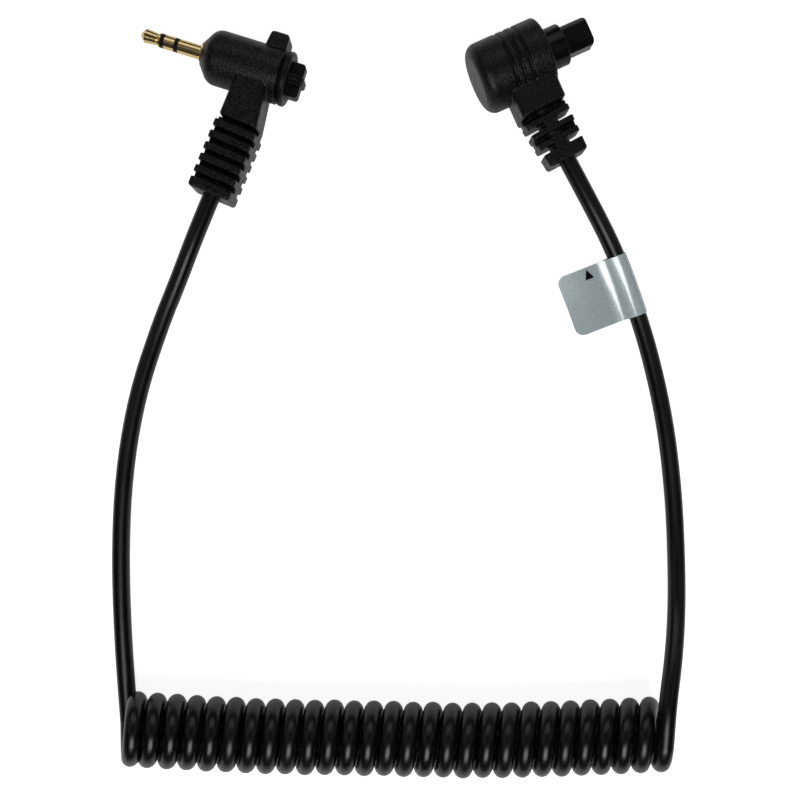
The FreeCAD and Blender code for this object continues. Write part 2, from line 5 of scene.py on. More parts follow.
import bpy
import numpy as np
from bpy.props import FloatProperty, FloatVectorProperty, IntProperty, PointerProperty
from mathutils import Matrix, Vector


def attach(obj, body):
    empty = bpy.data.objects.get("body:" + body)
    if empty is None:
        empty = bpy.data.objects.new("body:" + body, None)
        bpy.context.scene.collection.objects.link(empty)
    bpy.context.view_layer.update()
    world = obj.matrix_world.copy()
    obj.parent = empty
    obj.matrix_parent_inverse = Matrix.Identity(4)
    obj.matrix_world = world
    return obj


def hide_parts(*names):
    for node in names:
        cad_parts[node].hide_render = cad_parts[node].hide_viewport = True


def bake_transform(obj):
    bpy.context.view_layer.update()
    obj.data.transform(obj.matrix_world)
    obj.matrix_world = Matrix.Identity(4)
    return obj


bl_info = {
    "name": "Electronic Cable Release",
    "version": (1, 0, 0),
    "blender": (4, 5, 0),
    "location": "3D View > Sidebar > Release",
    "description": "Builds the cord, label, mouldings and finishes of an electronic cable release",
    "category": "Object",
}

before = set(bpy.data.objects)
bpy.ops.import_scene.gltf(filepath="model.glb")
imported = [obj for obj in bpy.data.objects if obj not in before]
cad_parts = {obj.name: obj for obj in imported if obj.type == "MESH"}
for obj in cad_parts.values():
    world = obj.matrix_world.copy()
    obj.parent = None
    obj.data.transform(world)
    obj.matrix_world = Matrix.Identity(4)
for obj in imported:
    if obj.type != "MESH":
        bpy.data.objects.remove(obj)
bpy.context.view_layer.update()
MM = 0.001

# Routes of the two leads, from their plug to the coil, and of the coil's axis, in millimetres.
REMOTE_ROUTE = [
    (-27.373, -14.62, 4.8), (-30.086, -21.073, 4.8), (-33.63, -29.22, 2.9), (-37.13, -37.02, 1.8),
    (-41.43, -49.82, 1.575), (-43.83, -64.22, 1.575), (-44.43, -79.42, 1.575),
    (-43.85, -94.92, 1.575), (-42.8, -108.42, 1.575),
]
CAMERA_ROUTE = [
    (35.399, -8.568, 6.25), (38.718, -14.732, 6.25), (43.77, -23.42, 4.3), (47.27, -31.42, 2.7),
    (50.87, -41.62, 1.75), (53.77, -54.42, 1.575), (55.27, -67.22, 1.575), (55.67, -78.32, 2.0),
    (55.07, -87.62, 4.5), (53.4, -95.32, 8.6), (51.7, -102.42, 11.125), (51.2, -109.22, 11.125),
]
COIL_LINE = [
    (-44.13, -108.02, 6.35), (-22.33, -109.52, 6.35), (1.67, -109.82, 6.35), (25.67, -110.52, 6.35),
    (53.97, -109.02, 6.35),
]
# Turn of the jack's pin about Z, in degrees, and the height of each plug's mould parting line.
JACK_TURN = -17.2
JACK_PARTING = 4.8 * MM
CAMERA_PARTING = 6.25 * MM
FOIL_THICK = 0.08 * MM
INK_THICK = 0.00003
ARROW_AT = (-5.93 * MM, 4.09 * MM)
ARROW_RADIUS = 1.2 * MM
FLAG_SAG = 0.0002
REMOTE = "remote_half"
CAMERA = "camera_half"

# How finely the pieces are meshed, and how near two points are one.
CORD_SIDES = 18
CORD_STEPS = 5
AXIS_STEPS = 12
BODY_VOXEL = 0.00012
SLEEVE_VOXEL = 0.00011
HARD_VOXEL = 0.0001
MERGE_DISTANCE = 1e-6
TUBE_CREASE = math.radians(40)
FOIL_CREASE = math.radians(50)

SENSOR_WIDTH = 36
DUST_GREY = (0.014, 0.014, 0.014)
PARTING_BLACK = (0.003, 0.003, 0.003)
INK_BLACK = (0.002, 0.002, 0.0024)


# ---------------------------------------------------------------- settings

class StageSettings(bpy.types.PropertyGroup):
    """Camera, floor and lamps."""

    centre: FloatVectorProperty(
        name="Camera foot", description="Point on the floor below the camera",
        default=(6.0 * MM, -50.6 * MM, 0.0), size=3, subtype="TRANSLATION", unit="LENGTH")
    height: FloatProperty(
        name="Camera height", description="Height of the camera over the floor",
        default=180 * MM, min=0.05, unit="LENGTH")
    lens: FloatProperty(
        name="Focal length", description="Focal length on a 36 mm wide sensor, in millimetres",
        default=44.55, min=10)
    floor_size: FloatProperty(
        name="Floor size", description="Side of the square floor", default=4.0, unit="LENGTH")
    floor_colour: FloatVectorProperty(
        name="Floor colour", description="Colour of the floor and of the studio round it",
        default=(0.9, 0.9, 0.9), size=3, subtype="COLOR", min=0, max=1)


class CordSettings(bpy.types.PropertyGroup):
    """The curly cord."""

    diameter: FloatProperty(
        name="Jacket diameter", description="Outer diameter of the round jacket",
        default=3.15 * MM, min=0.001, unit="LENGTH")
    coil_radius: FloatProperty(
        name="Coil radius", description="From the coil's axis to the middle of the jacket",
        default=4.775 * MM, min=0.003, unit="LENGTH")
    pitch: FloatProperty(
        name="Pitch", description="Distance from one turn to the next",
        default=3.455 * MM, unit="LENGTH")
    first_crest: FloatProperty(
        name="First crest", description="X of the first turn's farthest point from the front",
        default=-40.2 * MM, unit="LENGTH")
    turns: IntProperty(name="Turns", description="Whole turns of the coil", default=27, min=1)
    points_per_turn: IntProperty(
        name="Points in a turn", description="Control points in one turn", default=16, min=12)
    upright_x: FloatProperty(
        name="Upright turn", description="X of the turn that stands upright",
        default=6.0 * MM, unit="LENGTH")
    lean: FloatProperty(
        name="Lean", description="How much the other turns lean towards it, per metre from it",
        default=5.7)
    length: FloatProperty(
        name="Cord length", description="Length of the jacket from plug to plug",
        default=1.03, unit="LENGTH")


class LabelSettings(bpy.types.PropertyGroup):
    """The foil flag on the camera lead."""

    at: FloatVectorProperty(
        name="Middle", description="Where the lead passes through the label's middle",
        default=(46.78 * MM, -29.92 * MM, 3.1 * MM), size=3, subtype="TRANSLATION", unit="LENGTH")
    turn: FloatProperty(
        name="Turn", description="Turn of the flag's side about Z",
        default=math.radians(21.4), unit="ROTATION")
    length: FloatProperty(
        name="Length along the lead", description="Length of the label along the lead",
        default=11.3 * MM, unit="LENGTH")
    reach: FloatProperty(
        name="Reach", description="How far the flag reaches from the lead's middle",
        default=11.5 * MM, unit="LENGTH")
    wrap_radius: FloatProperty(
        name="Wrap radius", description="Radius of the foil round the lead",
        default=1.75 * MM, unit="LENGTH")
    corner: FloatProperty(
        name="Corner radius", description="Radius of the flag's outer corners",
        default=1.6 * MM, unit="LENGTH")


class FinishSettings(bpy.types.PropertyGroup):
    """Colours of the finishes."""

    moulded_black: FloatVectorProperty(
        name="Moulded PVC", description="Colour of the plugs' soft mouldings",
        default=(0.0028, 0.0028, 0.0031), size=3, subtype="COLOR", min=0, max=1)
    cord_black: FloatVectorProperty(
        name="Jacket", description="Colour of the cord's jacket",
        default=(0.0022, 0.0022, 0.0025), size=3, subtype="COLOR", min=0, max=1)
    gloss_black: FloatVectorProperty(
        name="Hard plastic", description="Colour of the collar and the nose",
        default=(0.003, 0.003, 0.0033), size=3, subtype="COLOR", min=0, max=1)
    gold: FloatVectorProperty(
        name="Gold", description="Colour of the plated contacts",
        default=(0.98, 0.74, 0.34), size=3, subtype="COLOR", min=0, max=1)
    foil: FloatVectorProperty(
        name="Foil", description="Colour of the label's metallised film",
        default=(0.61, 0.72, 0.75), size=3, subtype="COLOR", min=0, max=1)


# ---------------------------------------------------------------- node tools

def socket_in(tree, name, kind, value=None):
    item = tree.interface.new_socket(name=name, in_out="INPUT", socket_type=kind)
    if value is not None:
        item.default_value = value


def socket_out(tree, name, kind):
    tree.interface.new_socket(name=name, in_out="OUTPUT", socket_type=kind)


def add_node(tree, kind, **values):
    """A node whose settings and named input values are given by keyword."""
    node = tree.nodes.new(kind)
    for key, value in values.items():
        if hasattr(node, key):
            setattr(node, key, value)
        else:
            node.inputs[key.replace("_", " ")].default_value = value
    return node


def feed(tree, value, socket):
    """Links a socket to the input, or sets the input to a number."""
    if isinstance(value, bpy.types.NodeSocket):
        tree.links.new(value, socket)
    else:
        socket.default_value = value


def math_node(tree, operation, *values):
    """The result of a Math node on numbers and sockets."""
    node = add_node(tree, "ShaderNodeMath", operation=operation)
    for value, socket in zip(values, node.inputs):
        feed(tree, value, socket)
    return node.outputs[0]


def ramp(tree, factor, low, high, out_low, out_high):
    """A Map Range node from low..high to out_low..out_high."""
    node = add_node(tree, "ShaderNodeMapRange")
    for index, value in enumerate((low, high, out_low, out_high), start=1):
        node.inputs[index].default_value = value
    tree.links.new(factor, node.inputs[0])
    return node.outputs[0]


def group_tree(name):
    """The node group of that name, and whether it still has to be filled."""
    found = bpy.data.node_groups.get(name)
    if found:
        return found, False
    return bpy.data.node_groups.new(name, "ShaderNodeTree"), True


def grain_group():
    """Fine spark-eroded grain of a moulded surface: a height, a roughness and a shade."""
    tree, empty = group_tree("Moulded Grain")
    if not empty:
        return tree
    socket_in(tree, "Vector", "NodeSocketVector")
    socket_in(tree, "Scale", "NodeSocketFloat", 6000.0)
    socket_in(tree, "Roughness", "NodeSocketFloat", 0.5)
    socket_in(tree, "Spread", "NodeSocketFloat", 0.12)
    for name in ("Height", "Roughness", "Shade"):
        socket_out(tree, name, "NodeSocketFloat")
    ins = add_node(tree, "NodeGroupInput")
    outs = add_node(tree, "NodeGroupOutput")
    fine = add_node(tree, "ShaderNodeTexNoise", Detail=3.0)
    wide = add_node(tree, "ShaderNodeTexNoise", Scale=420.0, Detail=2.0)
    for noise in (fine, wide):
        tree.links.new(ins.outputs["Vector"], noise.inputs["Vector"])
    tree.links.new(ins.outputs["Scale"], fine.inputs["Scale"])
    tree.links.new(fine.outputs[0], outs.inputs["Height"])
    centred = math_node(tree, "SUBTRACT", wide.outputs[0], 0.5)
    spread = math_node(tree, "MULTIPLY_ADD", centred, ins.outputs["Spread"], ins.outputs["Roughness"])
    tree.links.new(spread, outs.inputs["Roughness"])
    tree.links.new(ramp(tree, fine.outputs[0], 0.35, 0.65, 0.35, 2.2), outs.inputs["Shade"])
    return tree


def dust_group():
    """Sparse specks of lint and dust: a mask."""
    tree, empty = group_tree("Dust Specks")
    if not empty:
        return tree
    socket_in(tree, "Vector", "NodeSocketVector")
    socket_in(tree, "Scale", "NodeSocketFloat", 900.0)
    socket_out(tree, "Mask", "NodeSocketFloat")
    ins = add_node(tree, "NodeGroupInput")
    outs = add_node(tree, "NodeGroupOutput")
    cells = add_node(tree, "ShaderNodeTexVoronoi")
    tree.links.new(ins.outputs["Vector"], cells.inputs["Vector"])
    tree.links.new(ins.outputs["Scale"], cells.inputs["Scale"])
    tree.links.new(ramp(tree, cells.outputs["Distance"], 0.10, 0.04, 0.0, 1.0), outs.inputs["Mask"])
    return tree


class Finish:
    """A material under construction, with its Principled shader and shortcuts."""

    def __init__(self, name):
        self.material = bpy.data.materials.new(name)
        self.material.use_nodes = True
        self.tree = self.material.node_tree
        self.shader = self.tree.nodes["Principled BSDF"]
        self.coords = add_node(self.tree, "ShaderNodeTexCoord")

    def set(self, **values):
        for key, value in values.items():
            self.shader.inputs[key.replace("_", " ")].default_value = value

    def link(self, out, name):
        self.tree.links.new(out, self.shader.inputs[name])

    def vector(self, kind="Object", scale=None, rotation=None):
        """The piece's coordinates, stretched and turned by a Mapping node where asked."""
        out = self.coords.outputs[kind]
        if scale is None:
            return out
        mapping = add_node(self.tree, "ShaderNodeMapping", Scale=scale)
        if rotation:
            mapping.inputs["Rotation"].default_value = rotation
        self.tree.links.new(out, mapping.inputs["Vector"])
        return mapping.outputs[0]

    def group(self, tree, vector, **values):
        node = add_node(self.tree, "ShaderNodeGroup")
        node.node_tree = tree
        self.tree.links.new(vector, node.inputs["Vector"])
        for key, value in values.items():
            node.inputs[key].default_value = value
        return node

    def bump(self, height, distance, strength=1.0):
        node = add_node(self.tree, "ShaderNodeBump", Strength=strength, Distance=distance)
        self.tree.links.new(height, node.inputs["Height"])
        self.link(node.outputs[0], "Normal")

    def noise(self, vector, **values):
        node = add_node(self.tree, "ShaderNodeTexNoise", **values)
        self.tree.links.new(vector, node.inputs["Vector"])
        return node.outputs[0]

    def vary(self, noise, low, high):
        """A value between low and high, by the middle range of a noise."""
        return ramp(self.tree, noise, 0.3, 0.7, low, high)

    def tint(self, colour, shade):
        """Colour multiplied by a shade that changes over the surface."""
        node = add_node(self.tree, "ShaderNodeMix", data_type="RGBA", blend_type="MULTIPLY")
        node.inputs["Factor"].default_value = 1.0
        node.inputs[6].default_value = (*colour, 1)
        self.tree.links.new(shade, node.inputs[7])
        return node.outputs[2]

    def mix(self, factor, first, second):
        """First colour or socket where the factor is 0, second where it is 1."""
        node = add_node(self.tree, "ShaderNodeMix", data_type="RGBA")
        self.tree.links.new(factor, node.inputs["Factor"])
        for index, value in ((6, first), (7, second)):
            colour = value if isinstance(value, bpy.types.NodeSocket) else (*value, 1)
            feed(self.tree, colour, node.inputs[index])
        return node.outputs[2]


# ---------------------------------------------------------------- finishes

def parting_line(finish, height):
    """A mask of the thin line that a mould leaves on a piece's sides, at that height."""
    split = add_node(finish.tree, "ShaderNodeSeparateXYZ")
    finish.tree.links.new(finish.vector(), split.inputs[0])
    off = math_node(finish.tree, "SUBTRACT", split.outputs["Z"], height)
    away = math_node(finish.tree, "ABSOLUTE", off)
    return ramp(finish.tree, away, 0.00008, 0.0002, 1.0, 0.0)


def moulded_pvc(name, colour, parting):
    """Matte, finely grained PVC of a plug's soft mouldings, with its parting line."""
    finish = Finish(name)
    where = finish.vector()
    grain = finish.group(grain_group(), where, Scale=3700.0, Roughness=0.34, Spread=0.2)
    dust = finish.group(dust_group(), where, Scale=700.0)
    shaded = finish.tint(colour, grain.outputs["Shade"])
    dusty = finish.mix(dust.outputs["Mask"], shaded, DUST_GREY)
    line = parting_line(finish, parting)
    finish.link(finish.mix(line, dusty, PARTING_BLACK), "Base Color")
    finish.link(grain.outputs["Roughness"], "Roughness")
    height = grain.outputs["Height"]
    finish.link(ramp(finish.tree, height, 0.35, 0.65, 0.14, 0.5), "Specular IOR Level")
    finish.bump(math_node(finish.tree, "SUBTRACT", height, line), 0.00011, 0.8)
    return finish.material


def hard_moulding(colour):
    """Smoother black moulding under the soft one, in sight at the jack plug's end."""
    finish = Finish("hard_moulding")
    grain = finish.group(grain_group(), finish.vector(), Scale=3600.0, Roughness=0.4, Spread=0.14)
    finish.link(finish.tint(colour, grain.outputs["Shade"]), "Base Color")
    finish.link(grain.outputs["Roughness"], "Roughness")
    finish.set(Specular_IOR_Level=0.25)
    finish.bump(grain.outputs["Height"], 0.00003, 0.3)
    return finish.material


def gloss_plastic(name, colour, roughness):
    """Smooth, hard black plastic with faint flow marks."""
    finish = Finish(name)
    flow = finish.noise(finish.vector(scale=(260, 900, 900)), Scale=1.0, Detail=3.0)
    finish.link(finish.tint(colour, finish.vary(flow, 0.85, 1.2)), "Base Color")
    finish.link(finish.vary(flow, roughness - 0.04, roughness + 0.06), "Roughness")
    finish.set(Specular_IOR_Level=0.3)
    finish.bump(flow, 0.00002, 0.15)
    return finish.material


def cord_jacket(colour):
    """Satin jacket, with the fine streaks of its extrusion along it and a little dust."""
    finish = Finish("cord_jacket")
    along = finish.vector("UV", scale=(60, 2600, 1))
    streak = finish.noise(along, Scale=1.0, Detail=2.0)
    cloud = finish.noise(finish.vector("UV", scale=(90, 240, 1)), Scale=1.0, Detail=3.0)
    dust = finish.group(dust_group(), finish.vector(), Scale=620.0)
    shaded = finish.tint(colour, finish.vary(cloud, 0.8, 1.25))
    finish.link(finish.mix(dust.outputs["Mask"], shaded, DUST_GREY), "Base Color")
    finish.link(finish.vary(cloud, 0.25, 0.33), "Roughness")
    finish.set(Specular_IOR_Level=0.5)
    finish.bump(streak, 0.00002, 0.18)
    return finish.material


def gold_plate(colour):
    """Bright gold plating, with the fine rings of a turned pin."""
    finish = Finish("gold_plate")
    across = finish.vector(scale=(5200, 160, 160), rotation=(0, 0, math.radians(-JACK_TURN)))
    turned = finish.noise(across, Scale=1.0, Detail=2.0)
    cloud = finish.noise(finish.vector(), Scale=300.0, Detail=2.0)
    finish.link(finish.tint(colour, finish.vary(cloud, 0.93, 1.05)), "Base Color")
    finish.link(finish.vary(turned, 0.13, 0.22), "Roughness")
    finish.set(Metallic=1.0)
    finish.bump(turned, 0.00001, 0.15)
    return finish.material


def foil_film(colour):
    """Metallised film: silver-grey, a little uneven, with the soft shine of its varnish."""
    finish = Finish("foil_film")
    wrinkle = finish.noise(finish.vector(), Scale=90.0, Detail=1.0)
    speck = finish.noise(finish.vector(), Scale=3600.0, Detail=1.0)
    finish.link(finish.tint(colour, finish.vary(speck, 0.9, 1.16)), "Base Color")
    finish.link(finish.vary(wrinkle, 0.24, 0.32), "Roughness")
    finish.set(Metallic=0.15, Coat_Weight=1.0, Coat_Roughness=0.13, Coat_IOR=2.1)
    finish.bump(speck, 0.00001, 0.1)
    return finish.material


def printed_ink():
    """Flat black ink, thin enough to show the film's unevenness."""
    finish = Finish("printed_ink")
    patch = finish.noise(finish.vector(), Scale=2600.0, Detail=3.0)
    finish.link(finish.tint(INK_BLACK, finish.vary(patch, 0.8, 1.3)), "Base Color")
    finish.link(finish.vary(patch, 0.45, 0.6), "Roughness")
    finish.set(Specular_IOR_Level=0.08)
    return finish.material


def core_insulation(name, colour):
    """Coloured insulation of one core, a little rubbed."""
    finish = Finish(name)
    rub = finish.noise(finish.vector(), Scale=2400.0, Detail=3.0)
    finish.link(finish.tint(colour, finish.vary(rub, 0.85, 1.1)), "Base Color")
    finish.link(finish.vary(rub, 0.4, 0.55), "Roughness")
    return finish.material


def bare_copper():
    """Twisted bare strands: fine slanting ridges of copper."""
    finish = Finish("bare_copper")
    wave = add_node(finish.tree, "ShaderNodeTexWave", Scale=1.0, Distortion=1.5)
    slanted = finish.vector(scale=(2600, 2600, 2600), rotation=(0, 0, 0.8))
    finish.tree.links.new(slanted, wave.inputs["Vector"])
    ridges = ramp(finish.tree, wave.outputs[1], 0, 1, 0.6, 1.1)
    finish.link(finish.tint((0.75, 0.4, 0.22), ridges), "Base Color")
    finish.set(Metallic=1.0, Roughness=0.32)
    finish.bump(wave.outputs[1], 0.00004, 0.5)
    return finish.material


def finish_of(name):
    """One of the object's materials, made the first time that it is asked for."""
    found = bpy.data.materials.get(name)
    if found:
        return found
    colours = bpy.context.scene.release_finish
    makers = {
        "jack_pvc": lambda: moulded_pvc("jack_pvc", colours.moulded_black, JACK_PARTING),
        "camera_pvc": lambda: moulded_pvc("camera_pvc", colours.moulded_black, CAMERA_PARTING),
        "hard_moulding": lambda: hard_moulding(colours.moulded_black),
        "gloss_plastic": lambda: gloss_plastic("gloss_plastic", colours.gloss_black, 0.24),
        "acetal": lambda: gloss_plastic("acetal", colours.gloss_black, 0.38),
        "cord_jacket": lambda: cord_jacket(colours.cord_black),
        "gold_plate": lambda: gold_plate(colours.gold),
        "foil_film": lambda: foil_film(colours.foil),
        "printed_ink": printed_ink,
        "core_red": lambda: core_insulation("core_red", (0.5, 0.02, 0.015)),
        "core_white": lambda: core_insulation("core_white", (0.75, 0.75, 0.72)),
        "bare_copper": bare_copper,
    }
    return makers[name]()


# ---------------------------------------------------------------- modelling tools

def nothing_selected():
    """Leaves edit mode and deselects everything."""
    if bpy.context.object and bpy.context.object.mode != "OBJECT":
        bpy.ops.object.mode_set(mode="OBJECT")
    bpy.ops.object.select_all(action="DESELECT")


def work_on(obj):
    """Makes the piece the only selected one, and the active one."""
    nothing_selected()
    obj.select_set(True)
    bpy.context.view_layer.objects.active = obj


def edit_whole(obj):
    """Opens the piece in edit mode with all of its mesh selected."""
    work_on(obj)
    bpy.ops.object.mode_set(mode="EDIT")
    bpy.ops.mesh.select_all(action="SELECT")


def face_outwards(obj):
    """Turns the faces of the piece outwards."""
    edit_whole(obj)
    bpy.ops.mesh.normals_make_consistent(inside=False)
    bpy.ops.object.mode_set(mode="OBJECT")


def apply_modifier(obj, kind, **values):
    """Adds a modifier with those settings and applies it."""
    work_on(obj)
    modifier = obj.modifiers.new(kind.title(), kind)
    for key, value in values.items():
        setattr(modifier, key, value)
    bpy.ops.object.modifier_apply(modifier=modifier.name)


def give(obj, material, slot, *replaced, body=None):
    """The piece's finish, the CAD nodes that it stands for, and its body; the record slot is not used.
    """
    obj.data.materials.clear()
    obj.data.materials.append(finish_of(material))
    if replaced:
        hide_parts(*replaced)
    if body:
        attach(obj, body)


def moulded_copy(name, node, voxel, passes):
    """A copy of a CAD node with the soft edges of a moulding: merged, remeshed and relaxed."""
    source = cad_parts[node]
    obj = bpy.data.objects.new(name, source.data.copy())
    bpy.context.scene.collection.objects.link(obj)
    edit_whole(obj)
    bpy.ops.mesh.remove_doubles(threshold=MERGE_DISTANCE)
    bpy.ops.object.mode_set(mode="OBJECT")
    apply_modifier(obj, "REMESH", mode="VOXEL", voxel_size=voxel, adaptivity=0.0)
    apply_modifier(obj, "SMOOTH", factor=0.5, iterations=passes)
    work_on(obj)
    bpy.ops.object.shade_smooth()
    return obj


def spline_points(name, controls, resolution):
    """Points of the smooth line that has these control points."""
    curve = bpy.data.curves.new(name, "CURVE")
    curve.dimensions = "3D"
    curve.resolution_u = resolution
    spline = curve.splines.new("NURBS")
    spline.points.add(len(controls) - 1)
    for point, at in zip(spline.points, controls):
        point.co = (*at, 1)
    spline.order_u = 3
    spline.use_endpoint_u = True
    holder = bpy.data.objects.new(name, curve)
    line = bpy.data.meshes.new_from_object(holder)
    points = np.array([v.co for v in line.vertices])
    bpy.data.objects.remove(holder)
    bpy.data.curves.remove(curve)
    bpy.data.meshes.remove(line)
    return points


def lengths_along(points):
    """Distance of each point from the first, along the line."""
    steps = np.linalg.norm(np.diff(points, axis=0), axis=1)
    return np.concatenate([[0.0], np.cumsum(steps)])


def tube_along(name, points, radius, sides):
    """A round tube whose rings follow the points without twisting, with its UV map along it."""
    tangents = np.gradient(points, axis=0)
    tangents /= np.linalg.norm(tangents, axis=1)[:, None]
    side = np.cross(tangents[0], (0, 0, 1))
    vertices = []
    angles = np.arange(sides) * 2 * math.pi / sides
    for centre, tangent in zip(points, tangents):
        side = side - tangent * (side @ tangent)
        side /= np.linalg.norm(side)
        up = np.cross(tangent, side)
        ring = centre + radius * (np.cos(angles)[:, None] * side + np.sin(angles)[:, None] * up)
        vertices.append(ring)
    rings = len(points)
    faces = []
    for ring in range(rings - 1):
        for k in range(sides):
            a, b = ring * sides + k, ring * sides + (k + 1) % sides
            faces.append((a, a + sides, b + sides, b))
    faces.append(tuple(range(sides)))
    faces.append(tuple((rings - 1) * sides + k for k in reversed(range(sides))))
    mesh = bpy.data.meshes.new(name)
    mesh.from_pydata(np.concatenate(vertices).tolist(), [], faces)
    along = lengths_along(points)
    uv = mesh.uv_layers.new(name="UVMap")
    for polygon in mesh.polygons[: (rings - 1) * sides]:
        ring, k = divmod(polygon.index, sides)
        corners = ((ring, k), (ring + 1, k), (ring + 1, k + 1), (ring, k + 1))
        for loop, (r, s) in zip(polygon.loop_indices, corners):
            uv.data[loop].uv = (along[r], s / sides * 2 * math.pi * radius)
    obj = bpy.data.objects.new(name, mesh)
    bpy.context.scene.collection.objects.link(obj)
    face_outwards(obj)
    bpy.ops.object.shade_smooth_by_angle(angle=TUBE_CREASE)
    return obj


# ---------------------------------------------------------------- stage

class RELEASE_OT_stage(bpy.types.Operator):
    """Camera straight above, white floor and soft studio light"""

    bl_idname = "release.stage"
    bl_label = "Stage"

    def execute(self, context):
        stage = context.scene.release_stage
        nothing_selected()
        self.camera(context, stage)
        self.floor(stage)
        self.lamps(stage)
        self.studio()
        context.scene.view_settings.view_transform = "Standard"
        return {"FINISHED"}

    def camera(self, context, stage):
        foot = Vector(stage.centre)
        bpy.ops.object.camera_add(location=foot + Vector((0, 0, stage.height)), rotation=(0, 0, 0))
        camera = context.object
        camera.data.lens = stage.lens
        camera.data.sensor_width = SENSOR_WIDTH
        camera.data.clip_start = 0.01
        context.scene.camera = camera

    def floor(self, stage):
        bpy.ops.mesh.primitive_plane_add(size=stage.floor_size, location=(0, 0, 0))
        floor = bpy.context.object
        floor.name = "floor"
        finish = Finish("white_floor")
        cloud = finish.noise(finish.vector(), Scale=6.0, Detail=1.0)
        shade = finish.vary(cloud, 0.99, 1.01)
        finish.link(finish.tint(stage.floor_colour, shade), "Base Color")
        finish.set(Roughness=0.9, Specular_IOR_Level=0.1)
        self.seen_white(finish, direct=0.85, mirrored=0.2)
        floor.data.materials.append(finish.material)

    def seen_white(self, finish, direct, mirrored):
        """Adds white to the floor as it is seen directly, and less of it to its reflections."""
        tree = finish.tree
        glow = add_node(tree, "ShaderNodeEmission", Color=(1, 1, 1, 1))
        path = add_node(tree, "ShaderNodeLightPath")
        seen = math_node(tree, "MULTIPLY", path.outputs["Is Camera Ray"], direct)
        level = math_node(tree, "MULTIPLY_ADD", path.outputs["Is Glossy Ray"], mirrored, seen)
        tree.links.new(level, glow.inputs["Strength"])
        both = add_node(tree, "ShaderNodeAddShader")
        tree.links.new(finish.shader.outputs[0], both.inputs[0])
        tree.links.new(glow.outputs[0], both.inputs[1])
        tree.links.new(both.outputs[0], tree.nodes["Material Output"].inputs["Surface"])

    def lamps(self, stage):
        """Soft boxes: one over the front, one over the back and a weak one at each side."""
        foot = Vector(stage.centre)
        plan = {
            "front_box": ((0.0, -0.30, 0.46), (0.34, 0.30), 1.4),
            "back_box": ((0.0, 0.36, 0.34), (0.6, 0.25), 0.34),
            "left_box": ((-0.34, 0.10, 0.30), (0.22, 0.5), 0.07),
            "right_box": ((0.34, 0.10, 0.30), (0.22, 0.5), 0.06),
        }
        for name, (place, size, power) in plan.items():
            bpy.ops.object.light_add(type="AREA", location=foot + Vector(place))
            lamp = bpy.context.object
            lamp.name = name
            lamp.data.shape = "RECTANGLE"
            lamp.data.size, lamp.data.size_y = size
            lamp.data.energy = power
            lamp.rotation_euler = (foot - lamp.location).to_track_quat("-Z", "Y").to_euler()

    def studio(self):
        """A room that the camera sees as white, and that lights the object only a little."""
        world = bpy.context.scene.world or bpy.data.worlds.new("studio")
        bpy.context.scene.world = world
        world.use_nodes = True
        tree = world.node_tree
        background = tree.nodes["Background"]
        background.inputs["Color"].default_value = (1, 1, 1, 1)
        path = add_node(tree, "ShaderNodeLightPath")
        level = ramp(tree, path.outputs["Is Camera Ray"], 0.0, 1.0, 0.025, 1.0)
        tree.links.new(level, background.inputs["Strength"])


# ---------------------------------------------------------------- cord

def coil_point(cord, axis, angle, out):
    """A point of the coil's helix; the turns lean a little towards the upright one."""
    height = -out * math.sin(angle)
    x = cord.first_crest + cord.pitch * (angle / (2 * math.pi) - 1)
    x += (cord.upright_x - x) * cord.lean * height
    y = np.interp(x, axis[:, 0], axis[:, 1]) + out * math.cos(angle)
    return np.array((x, y, COIL_LINE[0][2] * MM + height))


def cord_controls(cord):
    """Control points: one lead, the coil's turns, and the other lead backwards."""
    axis = spline_points("coil_axis", np.array(COIL_LINE) * MM, AXIS_STEPS)
    start = math.radians(90)
    end = math.radians(270 + 360 * cord.turns)
    step = 2 * math.pi / cord.points_per_turn
    count = round((end - start) / step)
    spread = cord.coil_radius / math.cos(step / 2)
    settling = 1.5 * math.pi
    slack, wander = 0.012, 0.61
    start_shift = REMOTE_ROUTE[-1][0] * MM - coil_point(cord, axis, start, spread)[0]
    end_shift = CAMERA_ROUTE[-1][0] * MM - coil_point(cord, axis, end, spread)[0]
    turns = []
    for k in range(count):
        angle = start + (k + 0.5) * step
        loose = 1 - slack * (1 + math.sin(wander * angle)) * math.sin(math.pi * k / count)
        point = coil_point(cord, axis, angle, spread * loose)
        point[0] += start_shift * max(0.0, 1 - (angle - start) / settling) ** 2
        point[0] += end_shift * max(0.0, 1 - (end - angle) / settling) ** 2
        turns.append(tuple(point))
    remote = [tuple(c * MM for c in p) for p in REMOTE_ROUTE]
    camera = [tuple(c * MM for c in p) for p in reversed(CAMERA_ROUTE)]
    return remote + turns + camera


def cord_points(cord):
    """Points of the cord's middle line, from the jack plug to the camera plug."""
    return spline_points("cord_line", cord_controls(cord), CORD_STEPS)


def lay_on_cord(obj, points, near, turn):
    """Bends a piece modelled about the origin, with y towards the camera plug, onto the cord. Its
    middle follows the cord, and its x side keeps one direction, turned about Z."""
    along = lengths_along(points)
    search_step, look_ahead = 0.0001, 0.004
    runs = np.arange(0, along[-1], search_step)
    fine = np.stack([np.interp(runs, along, points[:, k]) for k in range(3)], axis=1)
    middle = runs[np.argmin(np.linalg.norm(fine - np.array(near), axis=1))]

    def on_cord(run):
        return Vector([np.interp(run, along, points[:, k]) for k in range(3)])

    side = Vector((math.cos(turn), math.sin(turn), 0))
    forward = (on_cord(middle + look_ahead) - on_cord(middle - look_ahead)).normalized()
    up = side.cross(forward).normalized()
    for vertex in obj.data.vertices:
        vertex.co = on_cord(middle + vertex.co.y) + side * vertex.co.x + up * vertex.co.z


